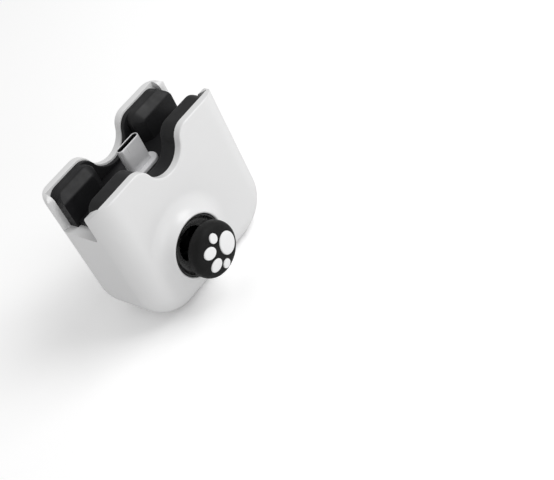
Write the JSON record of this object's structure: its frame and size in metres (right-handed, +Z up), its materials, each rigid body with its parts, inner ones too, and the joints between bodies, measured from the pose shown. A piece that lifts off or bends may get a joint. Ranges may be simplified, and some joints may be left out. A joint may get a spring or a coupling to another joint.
{
  "type": "mobile gamepad",
  "caption": "White clip-on phone gamepad block with a tilting thumbstick, a padded notched slot and a plug for the phone's edge, and a charging socket in its side.",
  "frame": {"origin": "centre of the whole object's box, at the height of the flat bottom it stands on", "axes": "+Z up along the phone plug, -Y out of the face with the thumbstick, +X to the right seen from that face"},
  "size_m": [0.052, 0.0376, 0.047],
  "materials": {
    "white_shell": "gloss",
    "silicone": "satin",
    "plug_metal": "satin",
    "connector_plastic": "matte",
    "contact_metal": "gloss",
    "collar_plastic": "satin",
    "board": "satin",
    "chip": "matte",
    "capacitor": "matte",
    "dish_plastic": "gloss",
    "frame_metal": "satin",
    "module_plastic": "matte",
    "wiper_plastic": "matte",
    "bezel_plastic": "matte",
    "screw_metal": "satin",
    "cap_rubber": "matte",
    "pad_white": "satin"
  },
  "bodies": {
    "base": {"front_shell": "white_shell", "back_shell": "white_shell", "front_pad": "silicone", "back_pad": "silicone", "floor_pad": "silicone", "plug_shell": "plug_metal", "plug_insert": "connector_plastic", "plug_contacts": "contact_metal", "plug_collar": "collar_plastic", "main_board": "board", "controller_chip": "chip", "power_chip": "chip", "board_capacitors": "capacitor", "stick_dish": "dish_plastic", "stick_frame": "frame_metal", "stick_base": "module_plastic", "spring_plate": "frame_metal", "stick_spring": "frame_metal", "side_sensor": "module_plastic", "lower_sensor": "module_plastic", "socket_shell": "plug_metal", "socket_tongue": "connector_plastic", "socket_bezel": "bezel_plastic", "shell_screws": "screw_metal"},
    "yoke": {"tilt_yoke": "module_plastic", "lower_wiper": "wiper_plastic"},
    "rocker": {"cross_rocker": "module_plastic", "side_wiper": "wiper_plastic"},
    "stick": {"stick_shaft": "module_plastic", "stick_pin": "frame_metal", "stick_cap": "cap_rubber", "palm_pad": "pad_white", "toe_pads": "pad_white"}
  },
  "joints": [
    {"name": "stick_left_right", "type": "hinge", "parent": "base", "child": "yoke", "pos_m": [-0.0061, -0.00122, 0.0174], "axis": [0, 0, 1], "range_deg": [-18, 18], "stiffness_Nm_per_rad": 0.03},
    {"name": "stick_up_down", "type": "hinge", "parent": "yoke", "child": "stick", "pos_m": [-0.0061, -0.00122, 0.0174], "axis": [1, 0, 0], "range_deg": [-18, 18], "stiffness_Nm_per_rad": 0.03},
    {"name": "rocker_up_down", "type": "hinge", "parent": "base", "child": "rocker", "pos_m": [-0.0061, -0.00122, 0.0174], "axis": [1, 0, 0], "range_deg": [-18, 18]}
  ],
  "couplings": [
    {"joint": "rocker_up_down", "follows": "stick_up_down", "ratio": 1}
  ]
}
